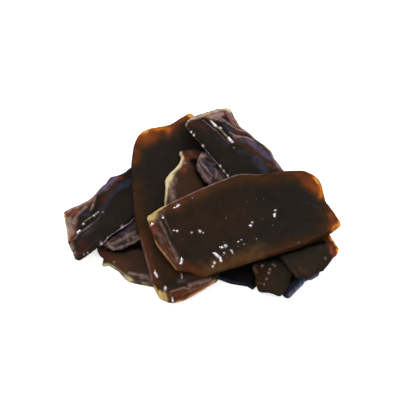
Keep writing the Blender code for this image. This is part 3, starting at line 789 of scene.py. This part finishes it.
# %% The back slab's dried end
far_rim = [(-3.8, 17.8), (-2.6, 19.2), (-1.4, 20.2), (0.2, 21.6), (2.2, 23.2), (3.7, 24.0), (5.1, 25.2)]
red_rim = [(7.5, 25.5), (8.1, 23.9), (8.8, 22.5), (9.6, 21.3), (10.4, 20.1)]
back.paint(
    "rust",
    (0.22, 1.8, (-2.6, 17.2), (-0.2, 17.4), (1.2, 16.4)),
    (0.5, 0.5, (1.4, 20.6), (2.6, 20.6)),
    (0.64, 0.9, (5.8, 24.4), (6.8, 23.2), (7.6, 21.9), (8.8, 20.4)),
)
back.paint(
    "bloom_and_highlight",
    (0.85, 0.8, *far_rim),
    (0.9, 0.9, (2.2, 21.6), (3.6, 22.4), (5.0, 23.4)),
    (0.6, 0.6, (3.6, 21.0), (4.8, 20.4)),
    (0.75, 0.75, *red_rim),
    (0.55, 0.6, (6.8, 24.4), (7.4, 23.4)),
    (0.46, 0.8, (7.4, 23.4), (8.0, 21.6), (8.8, 20.4)),
    (0.7, 0.45, (4.1, 21.7), (5.5, 21.0), (7.0, 20.0), (9.0, 19.0), (10.4, 18.8)),
)
back.paint(
    "buff",
    (0.42, 0.5, *far_rim, (6.3, 26.1)),
    (0.9, 0.7, (6.2, 25.9), (6.9, 25.4)),
)
back.hem("buff", 0.6, 1.0, (-3.8, 17.2), (-3.3, 16.5), (-2.5, 15.5))
back.paint(
    "glow",
    (0.7, 0.6, (0.6, 21.0), (1.6, 21.4)),
    (0.95, 0.8, (6.0, 25.9), (6.7, 25.9)),
)
back.tell("rust", "bloom_and_highlight", "buff", "glow")

# %% The back slab's bands
# Slate blue in the hollows: a painted reflection of a bluish sky.
back.paint(
    "slate_sheen",
    (0.55, 0.7, (5.8, 19.1), (6.5, 18.3), (7.2, 17.9)),
    (0.7, 1.2, (13.0, 10.2), (14.0, 9.1), (14.9, 7.6)),
    (0.45, 1.0, (9.3, 11.9), (10.9, 11.5), (12.1, 10.5)),
    (0.4, 0.9, (3.8, 14.8), (4.8, 13.8), (5.9, 13.0)),
)
back.paint(
    "rust",
    (0.5, 0.5, (7.9, 18.4), (8.9, 17.7), (10.2, 17.6)),
    (0.42, 0.6, (16.0, 9.5), (17.2, 8.6)),
)
# Mauve on the waves: partly the frond's tint and partly a painted sheen of the sky.
back.paint(
    "mauve_and_sheen",
    (0.4, 0.9, (8.4, 15.8), (10.6, 15.4)),
    (0.6, 1.0, (11.2, 15.4), (12.6, 14.6), (14.4, 12.8), (15.6, 11.6), (16.4, 10.8)),
    (1.0, 1.0, (11.2, 19.2), (12.4, 18.0), (13.5, 17.0), (14.7, 15.9)),
    (1.2, 1.1, (17.0, 13.8), (17.4, 12.4), (17.9, 10.9), (18.9, 9.0)),
)
back.paint(
    "bloom_and_highlight",
    (0.65, 0.7, (11.2, 19.2), (12.4, 18.1), (13.5, 17.1)),
    (0.75, 0.9, (17.2, 13.4), (17.4, 11.4), (18.4, 9.6)),
    (0.7, 0.32, (6.9, 17.2), (7.9, 16.5), (9.1, 16.2), (10.8, 16.4), (12.2, 15.7)),
    (0.5, 0.28, (0.5, 19.4), (1.5, 18.6), (2.4, 17.8), (3.6, 16.9)),
    (0.3, 0.26, (3.6, 16.9), (4.8, 15.6), (6.7, 13.6)),
)
# A faint painted violet-blue sheen.
back.paint("blue", (0.22, 0.6, (14.6, 12.8), (15.6, 12.0), (16.8, 11.6)))
back.paint(
    "glow",
    (0.85, 0.6, (15.3, 14.9), (16.6, 14.3)),
    (0.3, 0.9, (8.1, 14.7), (10.0, 14.0), (11.7, 12.9), (13.3, 11.4), (15.9, 8.4)),
)
back.paint(
    "buff",
    (0.55, 0.45, (15.4, 15.1), (16.6, 14.5)),
    (0.4, 0.2, (3.6, 18.2), (5.0, 17.0), (6.0, 15.7)),
    (0.5, 0.26, (7.8, 12.7)),
)
back.tell("slate_sheen", "rust", "mauve_and_sheen", "bloom_and_highlight", "blue", "glow", "buff")

# %% The back slab's pale foot and glints
upper_foot = [(-3.3, 16.5), (-1.8, 14.7), (-0.9, 13.3), (0.2, 11.6)]
lower_foot = [(1.4, 9.9), (2.5, 8.3), (3.5, 6.9), (4.9, 5.0), (6.6, 3.0)]
# A painted highlight along the foot of the cut rim: a pale line, painted white glints along its lower
# part, and spots of painted glint that stand out a little.
back.hem("bloom_and_highlight", 1.0, 1.2, *upper_foot, *lower_foot)
back.hem("painted_glint", 0.7, 0.8, *lower_foot)
back.spots(
    (-2.3, 15.2, 0.24), (-1.7, 14.3, 0.28), (0.3, 11.3, 0.4), (1.7, 9.4, 0.22), (4.3, 5.9, 0.42),
    (5.2, 4.8, 0.3), (6.2, 3.6, 0.26),
)
back.mark("wall", 1.3 * back.near([(-3.4, 18.0), (-1.0, 14.8), (1.6, 10.6)], 0.9))
back.edge("wall", 2.0, 0.6, (0.2, 21.6), (5.1, 25.2), *red_rim, (14.4, 16.0), (18.9, 9.0))
# Painted white glints along the ridge.
for line in [[(2.4, 19.8), (3.4, 18.5)], [(4.6, 18.0)], [(6.6, 15.4), (7.0, 14.7)], [(7.4, 14.3)]]:
    back.mark("painted_glint", 0.95 * back.near(line, 0.34))
back.finish(skin("back_skin", rim_highlight=0.1, shine=0.12))

# %% [markdown]
# ## The left slab
# It is the back slab's twin, with its dark side at the near end. Both could come from one function
# with the lines as data, but their lines differ at every point, so they are written out again.

# %% Left slab
left = Slab("left_slab")
left_ridge = [(-28.8, -9.2), (-27.2, -7.1), (-26.2, -5.8), (-24.8, -4.8), (-23.9, -3.8)]
left.waves(0.06, 4.0, 31)
left.ridge(0.26, 0.42, *left_ridge)
left.ridge(0.12, 0.3, (-29.0, -11.1), (-27.4, -9.0), (-25.2, -7.2), (-23.4, -5.1))
left.ridge(0.34, 0.7, (-25.4, -3.3), (-24.7, -0.4), (-23.9, 1.6), (-21.6, 4.4), (-18.8, 6.8))
left.ridge(-0.2, 0.7, (-22.6, -1.6), (-21.8, 0.4), (-19.6, 2.9), (-16.5, 5.2))
left.ridge(-0.08, 0.6, (-27.6, -4.4), (-26.4, -2.0), (-25.8, -0.2))
left_end = left.near([(-31.4, -5.0), (-30.4, -9.6), (-29.4, -14.6)], 2.0)
left.raise_by(0.09, left_end * left.streaks(48, 2.4, 0.7, 33))
print("left slab's relief:", left.lift.min().round(2), "to", left.lift.max().round(2), "mm")

# %% The left slab's dried end
end_rim = [(-31.9, -3.2), (-31.6, -5.0), (-31.2, -7.3), (-30.9, -9.2), (-30.6, -10.9)]
upper_rim = [(-30.8, -2.0), (-29.4, -1.6), (-28.3, -0.9), (-27.1, -0.2), (-26.0, 0.5), (-24.8, 1.8)]
left.paint(
    "rust",
    (0.2, 1.8, (-27.4, -12.6), (-26.4, -13.6), (-27.2, -15.0)),
    (0.9, 0.75, (-31.0, -3.5), (-30.0, -3.3), (-29.0, -3.0)),
    (0.5, 0.6, (-29.0, -2.4), (-27.4, -1.6)),
    (0.75, 0.6, (-30.0, -9.4), (-29.8, -10.9)),
    (0.5, 0.7, (-29.2, -7.4), (-29.2, -9.0)),
)
left.paint(
    "bloom_and_highlight",
    (0.85, 1.0, (-30.6, -5.2), (-30.4, -7.6), (-30.1, -9.4)),
    (0.7, 0.8, (-29.6, -5.4), (-29.4, -6.4)),
    # painted light: the upper rim is painted pale, where it turns from the light and would come out dark
    (0.9, 0.8, *upper_rim),
    (0.7, 0.5, (-30.0, -6.2), (-29.3, -5.0), (-28.4, -3.6), (-26.9, -1.8)),
    (0.54, 0.62, (-29.9, -12.4), (-29.3, -14.2), (-28.8, -15.8)),
)
left.paint(
    "buff",
    (0.55, 0.4, *end_rim),
    (0.4, 0.3, (-30.3, -12.4), (-29.6, -14.8), (-29.0, -16.4)),
)
left.paint(
    "glow",
    (0.95, 0.8, (-31.9, -3.0)),
    (0.55, 0.6, (-30.4, -10.0), (-30.0, -11.4)),
)
left.edge("wall", 2.0, 0.7, *upper_rim, (-24.2, 3.4), (-22.6, 6.0), (-21.4, 7.8), (-17.0, 9.6))
for line in [[(-30.4, -8.4), (-29.2, -11.2)], [(-25.4, -3.6)],
             [(-27.6, -13.6), (-25.4, -12.0), (-23.4, -10.8)]]:
    left.mark("wall", 1.6 * left.near(line, 1.2))
left.tell("rust", "bloom_and_highlight", "buff", "glow")

# %% The left slab's bands
# Slate blue in the hollows: a painted reflection of a bluish sky.
left.paint(
    "slate_sheen",
    (0.55, 0.7, (-27.2, -4.0), (-26.5, -4.2), (-25.9, -3.4)),
    (0.72, 1.0, (-19.2, 3.3), (-17.6, 4.5), (-16.5, 5.3)),
    (0.45, 0.9, (-23.2, -3.9), (-22.6, -2.1), (-21.7, -0.2), (-20.8, 1.4), (-19.9, 2.6)),
    (0.45, 0.8, (-25.1, -7.9), (-24.2, -7.2)),
)
left.paint(
    "rust",
    (0.55, 0.5, (-26.5, -1.4), (-25.7, -0.7)),
    (0.5, 0.7, (-19.8, 5.6), (-18.4, 6.2)),
)
# Mauve on the waves: partly the frond's tint and partly a painted sheen of the sky.
left.paint(
    "mauve_and_sheen",
    (0.85, 0.9, (-24.0, 2.0), (-22.4, 3.6), (-21.2, 5.0), (-20.2, 6.6)),
    (1.05, 0.9, (-24.9, 2.4), (-24.0, 3.6), (-23.1, 5.0)),
    (0.9, 0.8, (-20.8, 7.7), (-19.4, 7.9), (-17.2, 9.6)),
    (0.3, 1.0, (-27.0, -9.8), (-25.8, -9.2)),
)
# A faint painted violet-blue sheen.
left.paint("blue", (0.22, 0.7, (-22.3, 3.8), (-20.6, 6.4), (-19.8, 7.3)))
left.paint(
    "glow",
    (0.9, 0.7, (-22.1, 7.2), (-21.3, 7.9)),
    (0.95, 0.5, (-22.5, 6.1), (-21.7, 7.0)),
    (0.3, 0.9, (-22.6, -0.4), (-21.3, 2.0), (-20.2, 4.0)),
)
left.paint(
    "buff",
    (0.6, 0.5, (-22.2, 7.4), (-21.4, 8.1)),
    (0.5, 0.35, (-22.5, 6.3), (-21.8, 7.1)),
    (0.4, 0.2, (-27.1, -6.4), (-26.2, -5.8), (-25.3, -4.9)),
    (0.45, 0.26, (-22.8, -3.6)),
)
left.paint(
    "bloom_and_highlight",
    (0.62, 0.4, (-24.4, 1.8), (-24.8, 0.3), (-25.0, -1.2), (-25.6, -2.8)),
    (0.5, 0.28, (-29.0, -11.1), (-28.3, -9.7), (-27.4, -9.0), (-26.3, -8.3), (-25.2, -7.2)),
    (0.3, 0.26, (-25.2, -7.2), (-24.3, -6.4), (-23.4, -5.1)),
)
left.tell("slate_sheen", "rust", "mauve_and_sheen", "blue", "glow", "buff", "bloom_and_highlight")

# %% The left slab's pale foot and glints
left_foot = [(-21.8, -11.7), (-20.4, -10.6), (-19.1, -9.5), (-17.9, -8.7), (-16.1, -7.0), (-15.6, -6.5)]
# A painted highlight along the foot of the cut rim: a pale line with painted white glints, and spots of
# painted glint that stand out a little.
left.hem("bloom_and_highlight", 1.0, 1.2, *left_foot)
left.hem("painted_glint", 0.6, 0.8, *left_foot)
left.push(0.5, 1.0, (-29.4, -16.6), (-28.2, -16.8), (-26.3, -15.2), (-24.0, -13.4), (-22.4, -12.2))
# Two blisters with a painted white glint on each crown.
left.blisters((-27.0, -15.3, 0.3), (-26.2, -14.8, 0.32))
left.spots((-22.9, -12.8, 0.42), (-21.4, -11.4, 0.22), (-17.9, -8.8, 0.45), (-17.2, -8.2, 0.26))
left.edge("wall", 2.0, 1.8, (-28.4, -17.4), (-26.3, -15.2), (-23.6, -13.6), (-20.0, -11.0), (-15.8, -7.4))
# Blisters along the ridge, each with a painted white glint on its crown.
left.blisters(
    (-28.4, -9.3, 0.5), (-28.0, -8.9, 0.45), (-27.2, -7.1, 0.5), (-24.8, -4.8, 0.5), (-24.3, -4.3, 0.4),
    (-23.9, -3.8, 0.5),
)
left.finish(skin("left_skin", rim_highlight=0.1, shine=0.12))

# %% [markdown]
# ## The slabs with buff rims
# The middle and lower left slabs are redder, and their cut rims have dried to buff, with a grey
# band inside. The buff is wide in one place and a thread in another, as a blade leaves it, so it is
# painted in stretches. Where a slab goes in under another one, it is painted nearly black as shade.

# %% Middle slab
middle = Slab("middle_slab")
buff_rim = [(-8.4, -5.0), (-8.0, -1.6), (-7.9, 0.6), (-7.9, 2.6), (-6.5, 4.9), (-5.4, 6.4), (-4.8, 8.2)]
middle.waves(0.07, 3.5, 41)
middle.ridge(0.12, 0.3, (-6.0, 1.6), (-5.7, -1.0), (-5.5, -3.6))
middle.paint(
    "rust",
    (0.5, 1.0, (-4.0, 10.0), (-3.7, 7.4), (-4.1, 4.8)),
    (0.45, 0.9, (-2.4, 10.6), (-1.6, 9.6)),
)
middle.paint(
    "bloom_and_highlight",
    (0.52, 0.9, (-6.9, 1.4), (-6.7, -0.9), (-6.5, -3.6)),
    (0.45, 0.3, (-5.8, 2.6), (-5.7, 1.6)),
)
middle.mark("buff", middle.near(buff_rim[2:], 0.75) * middle.uneven(1.2, 43, 0.3))
middle.mark("buff", 0.8 * middle.near(buff_rim[:3], 0.4) * middle.uneven(1.2, 43, 0.3))
middle.paint(
    "buff",
    (1.3, 0.95, (-7.2, 4.0), (-7.6, 2.4)),
    (1.0, 0.6, (-5.2, 11.2), (-4.7, 9.8), (-4.6, 8.4)),
)
# Painted shade: nearly black where the slab goes in under the back slab and its scrap.
middle.paint("shade", (0.95, 0.9, (-1.8, 8.2), (-0.9, 6.4), (-0.1, 4.4), (0.6, 2.4), (1.2, 1.4)))
# A painted white glint.
middle.paint("painted_glint", (0.3, 0.3, (-3.7, 7.5)))
middle.push(0.3, 1.3, (-7.2, 4.2), (-7.7, 2.4))
middle.edge("wall", 2.0, 1.5, (-8.4, -5.2), (-8.2, -1.8), (-7.8, 3.0), (-5.4, 11.1))
middle.finish(skin("middle_skin", deep=on_screen(56, 39, 27)))

# %% Lower left slab
lower_left = Slab("lower_left_slab")
lower_left.waves(0.1, 3.0, 51)
lower_left.ridge(0.12, 0.3, (-15.6, -18.7), (-13.9, -19.2), (-12.1, -19.8))
lower_left.paint("rust", (0.36, 1.4, (-22.2, -13.4), (-21.2, -14.8), (-18.6, -16.4), (-17.2, -16.9)))
lower_left.paint(
    "bloom_and_highlight",
    (0.6, 0.4, (-16.4, -18.6), (-15.2, -18.9), (-13.7, -19.3)),
    (0.6, 0.7, (-13.4, -19.6), (-12.1, -20.0), (-11.0, -20.8)),
    (0.45, 0.2, (-15.6, -18.6), (-13.9, -19.1), (-12.1, -19.7)),
)
lower_left.paint(
    "buff",
    (1.1, 1.0, (-18.8, -19.2), (-17.6, -20.2), (-16.6, -20.6)),
    (0.8, 0.5, (-22.6, -16.3), (-21.4, -16.4), (-20.0, -17.3), (-18.4, -18.7)),
    (1.0, 0.3, (-16.6, -20.4), (-13.9, -21.1), (-12.1, -21.4), (-10.6, -22.4)),
)
lower_left.push(0.5, 1.0, (-23.6, -12.0), (-22.8, -13.0))
lower_left.push(0.35, 1.2, (-18.4, -18.9), (-13.9, -20.7), (-11.4, -21.6))
# Painted shade: nearly black where the slab goes in under the left slab and its scrap.
wedge = [(-21.0, -12.4), (-19.0, -12.9), (-17.4, -12.8), (-15.8, -12.0), (-13.6, -11.9)]
lower_left.paint("shade", (1.1, 0.9, *wedge))
# A painted white glint.
lower_left.paint("painted_glint", (0.3, 0.3, (-20.0, -15.8)))
lower_left.mark("wall", 1.3 * lower_left.near([(-20.4, -14.6), (-18.4, -14.4)], 1.2))
lower_left.edge("wall", 2.0, 1.2, (-22.5, -17.0), (-18.3, -19.1), (-14.7, -21.1), (-10.4, -22.6))
lower_left.finish(skin("lower_left_skin", deep=on_screen(58, 41, 30)))

# %% [markdown]
# ## The pieces at the lower right
# These lie in the front slab's shade, and a painted black shadow runs along under its lower edge.
# One has an amber corner and a ragged side, one a crooked row of small beads with painted pale
# highlights, and the lowest show black faces, partly their own colour and partly painted shade, with
# a painted blue sheen where one edge is thinnest. The beads are raised as well as painted, and the
# sheen is plain colour, because it hardly moves when the slab is turned.

# %% Lower right slab
lower_right = Slab("lower_right_slab")
lower_right.waves(0.08, 3.0, 61)
lower_right.edge("glow", 0.95, 1.0, (29.0, -11.4), (30.0, -12.6), (31.0, -14.4), (31.4, -16.0))
lower_right.paint("glow", (0.4, 1.3, (28.8, -12.4), (30.0, -15.4)))
lower_right.paint(
    "rust",
    (0.65, 0.8, (29.6, -14.6), (30.3, -16.6)),
    (0.22, 1.1, (22.6, -20.8), (24.2, -21.8)),
)
# Painted shadow: a black band where the front slab's lower edge shades this slab.
lower_right.paint("shade", (0.9, 0.7, (18.2, -16.4), (21.0, -15.8), (24.0, -15.0), (28.0, -13.4)))
lower_right.paint(
    "bloom_and_highlight",
    (0.18, 0.25, (19.0, -17.9), (20.4, -20.2), (21.8, -22.2)),
    # Pale spots: painted highlights.
    (0.3, 0.3, (29.6, -16.3)),
    (0.55, 0.35, (28.3, -17.6)),
)
ragged_side = [(18.6, -18.0), (20.2, -20.1), (22.0, -22.6), (26.0, -22.0), (30.0, -18.0), (31.4, -15.6)]
lower_right.edge("wall", 2.0, 1.5, *ragged_side)
lower_right.finish(skin("lower_right_skin", deep=on_screen(43, 36, 30), rim_highlight=0.05))

# %% Bottom slab
bottom = Slab("bottom_slab")
bottom.waves(0.08, 3.0, 71)
rag = bottom.near([(12.0, -18.4), (14.4, -19.4), (13.6, -22.4), (12.0, -23.2)], 1.5)
bottom.raise_by(0.16, rag * lumps(bottom.places, 0.8, 72))
bottom.push(0.9, 1.6, (12.8, -20.8), (13.6, -22.8))
bottom.push(0.35, 1.0, (18.4, -25.2), (19.2, -24.2))
bottom.mark("glow", 0.26 * rag)
bottom.mark("bloom_and_highlight", 0.3 * rag * smooth(lumps(bottom.places, 0.7, 73), 0.1, 0.8))
bottom.paint(
    "bloom_and_highlight",
    (0.35, 0.25, (11.6, -17.4), (12.1, -18.4), (13.0, -19.8)),
    (0.3, 0.2, (18.2, -25.3), (19.8, -23.4), (21.2, -21.8)),
)
# Painted shadow: black along the upper edge, under the front slab, and along the side beside the lower
# right slab.
bottom.paint("shade", (1.0, 0.9, (11.6, -16.8), (14.4, -16.8), (17.4, -16.4), (19.8, -16.2)))
bottom.edge("shade", 1.0, 0.9, (18.8, -17.6), (20.2, -19.8), (21.4, -21.4))
bottom.mark("wall", 2.0 * bottom.rim(1.2))
# Beads raised in the mesh, each painted with a pale highlight.
for x, y, size in [(16.4, -18.1, 0.36), (16.9, -18.5, 0.3), (15.8, -19.3, 0.36), (15.5, -20.2, 0.32),
                   (14.9, -21.6, 0.28), (14.4, -22.8, 0.24), (14.0, -18.4, 0.36)]:
    bottom.raise_by(0.3 * size, bottom.near([(x, y)], size))
    bottom.paint("bloom_and_highlight", (0.85, size, (x, y)))
bottom.finish(skin("bottom_skin", deep=on_screen(46, 38, 31), rim_highlight=0.05))

# %% The two lowest slabs
# The dark slab lies in the front slab's shadow and is nearly black: partly its own colour, partly painted
# shade.
dark = Slab("dark_slab")
dark.waves(0.08, 2.0, 81)
# A painted slate sheen along its lower rim.
dark.edge("slate_sheen", 0.5, 0.4, (4.9, -20.4), (7.8, -21.7), (10.8, -22.7))
dark.finish(skin("dark_and_shaded_skin", deep=on_screen(16, 16, 18), rim_highlight=0.1))

lowest = Slab("lowest_slab")
lowest.waves(0.06, 1.2, 82)
lowest.push(0.55, 1.0, (20.2, -23.8), (21.4, -22.6), (23.2, -20.6))
lowest.push(0.7, 1.2, (25.4, -19.2), (26.4, -18.4))
# Painted light along the thinnest edge: a slate and violet-blue sheen, a pale highlight and a painted
# white glint.
lowest.mark("slate_sheen", 0.5 * lowest.near([(21.0, -23.0), (22.2, -21.8), (23.4, -20.4)], 1.2))
lowest.paint(
    "blue",
    (1.0, 0.5, (22.0, -22.3), (22.8, -21.3), (23.5, -20.4)),
    (0.55, 0.35, (20.2, -24.0), (22.0, -22.3)),
    (0.25, 0.6, (25.2, -19.4), (26.7, -18.3)),
)
lowest.paint("bloom_and_highlight", (0.5, 0.35, (19.8, -24.4), (21.0, -23.4)))
lowest.paint("painted_glint", (0.5, 0.35, (21.6, -22.6), (22.7, -21.4)))
lowest.paint("mauve_and_sheen", (0.8, 0.9, (25.0, -19.6), (26.0, -19.1), (27.0, -18.3)))
lowest.finish(skin("lowest_skin", deep=on_screen(34, 39, 48), rim_highlight=0.1))

# %% [markdown]
# ## The crumpled scraps
# Two thin scraps are squeezed under the banded slabs and have dried in long, soft folds. Noise that
# is folded at zero makes such folds: it peaks in lines wherever it changes sign. Finer crinkles run
# nearly the same way. The crests of the folds and crinkles carry a painted highlight, a few folds
# more where they catch the light, with a painted slate-blue sheen, a painted shade where each scrap
# goes in under its slab, and darker patches at random. The squares of the mesh are smaller here, to
# carry the folds and crinkles. The scraps are dull, so most of their gloss is taken off.

# %% Scraps
FINE_SQUARE = 0.12  # mm
CRINKLE_TURN = 8  # degrees between the folds and the crinkles
left_scrap = Slab("left_scrap", square=FINE_SQUARE)
back_scrap = Slab("back_scrap", square=FINE_SQUARE)
for scrap, heading in ((left_scrap, 40), (back_scrap, -62)):
    folds = 1 - 2.2 * np.abs(scrap.streaks(heading, 3.0, 1.1, 91))
    scrap.raise_by(0.16, np.maximum(folds, -1))
    # A painted highlight on the crests of the folds.
    scrap.mark("bloom_and_highlight", 0.34 * smooth(folds, 0.2, 1.0) * scrap.uneven(0.8, 95, 0.7))
    crinkles = scrap.streaks(heading + CRINKLE_TURN, 1.6, 0.4, 98)
    scrap.raise_by(0.05, crinkles)
    # A painted highlight on the crests of the crinkles.
    scrap.mark("bloom_and_highlight", 0.38 * smooth(crinkles, 0.1, 0.8))
    scrap.mark("mauve_and_sheen", 0.55 * smooth(lumps(scrap.places, 1.5, 94), -0.4, 0.6))
    # Darker in random patches.
    scrap.mark("shade", 0.5 * smooth(-lumps(scrap.places, 1.6, 97), 0.2, 0.8))
    scrap.mark("wall", 0.9 * np.ones(len(scrap.places)))
    scrap.tell("bloom_and_highlight", "mauve_and_sheen", "shade")

# %% The scraps' folds
# Painted highlights on a few folds, where they catch the light.
left_scrap.paint(
    "bloom_and_highlight",
    (0.85, 0.45, (-21.6, -11.6), (-21.0, -12.8), (-20.0, -13.4)),
    (0.6, 0.55, (-20.5, -12.1), (-19.1, -11.3), (-17.5, -10.6), (-15.4, -9.0)),
    (0.6, 0.35, (-19.5, -13.3), (-17.5, -12.5), (-15.2, -11.4), (-14.2, -10.7)),
    (0.5, 0.6, (-15.6, -10.2), (-14.4, -10.2)),
)
# A painted slate-blue sheen.
left_scrap.paint("slate_sheen", (0.6, 0.8, (-18.4, -8.8), (-16.8, -9.0), (-16.4, -7.6)))
# Painted shade where the scrap goes in under the left slab.
left_scrap.paint("shade", (0.8, 0.6, (-21.6, -10.4), (-19.4, -9.2), (-17.8, -8.2)))

back_scrap.paint(
    "bloom_and_highlight",
    (0.9, 0.6, (-0.9, 7.9), (-0.2, 8.6), (0.8, 9.1)),
    (0.55, 0.35, (-0.2, 7.1), (0.7, 6.1), (1.7, 4.8), (2.6, 3.7)),
    (0.6, 0.3, (-0.6, 6.4), (0.2, 4.2), (1.1, 2.6), (2.1, 1.8)),
    (0.6, 0.35, (3.1, 6.1), (3.7, 5.0), (3.5, 3.4)),
)
# A painted slate-blue sheen.
back_scrap.paint("slate_sheen", (0.75, 0.9, (1.6, 6.6), (2.6, 5.0)))
# Painted shade where the scrap goes in under the back slab.
back_scrap.paint("shade", (0.6, 0.7, (1.4, 8.4), (2.4, 7.4)))
for scrap in (left_scrap, back_scrap):
    scrap.finish(skin(scrap.node + "_skin", deep=on_screen(52, 43, 44)))

# %% [markdown]
# ## Floor
# The heap lies on white paper. Lit paper alone would come out grey in the shade, so this one glows a
# little, like paper on a dim light table, and hardly any shadow lies on it. It is left out of
# reflections, where it would lie on every wet face as a grey veil.

# %% Floor
bpy.ops.object.select_all(action="DESELECT")
bpy.ops.mesh.primitive_plane_add(size=3.0, location=(0, 0, -0.05 * MM))
floor = bpy.context.object
floor.name = "floor"
paper = bpy.data.materials.new("paper")
paper.use_nodes = True
sockets = paper.node_tree.nodes["Principled BSDF"].inputs
sockets["Base Color"].default_value = (0.9, 0.9, 0.9, 1)
sockets["Roughness"].default_value = 0.9
sockets["Emission Color"].default_value = (1, 1, 1, 1)
sockets["Emission Strength"].default_value = 0.55
floor.data.materials.append(paper)
floor.visible_glossy = False
print("floor:", [round(side, 1) for side in floor.dimensions], "m")


# %% [markdown]
# ## Lights
# One broad light, from above and a little from behind, is even enough for every surface to show its
# own colour. It is left out of reflections too. A small lamp, behind the heap and to the left, is
# there for reflections alone and draws the glints. A single light can't do both: if it is broad, the
# glints spread into a veil, and if it is small, the shadows turn hard.

# %% Lights
def sun(name, azimuth, elevation, strength, spread):
    """A distant light: azimuth from +X towards +Y, spread is how wide it looks, all in degrees."""
    data = bpy.data.lights.new(name, "SUN")
    data.energy = strength
    data.angle = math.radians(spread)
    light = bpy.data.objects.new(name, data)
    bpy.context.scene.collection.objects.link(light)
    around, up = math.radians(azimuth), math.radians(elevation)
    toward = Vector((math.cos(around) * math.cos(up), math.sin(around) * math.cos(up), math.sin(up)))
    light.rotation_euler = toward.to_track_quat("Z", "Y").to_euler()
    return light


above = sun("above", 95, 68, 4.3, 140)
above.visible_glossy = False
lamp = sun("lamp", 135, 50, 5.0, 16.0)
lamp.visible_diffuse = False
world = bpy.data.worlds.new("studio")
world.use_nodes = True
world.node_tree.nodes["Background"].inputs["Color"].default_value = (0.12, 0.115, 0.11, 1)
bpy.context.scene.world = world
bpy.context.scene.view_settings.view_transform = "Standard"
print("lights:", above.name, "and", lamp.name)
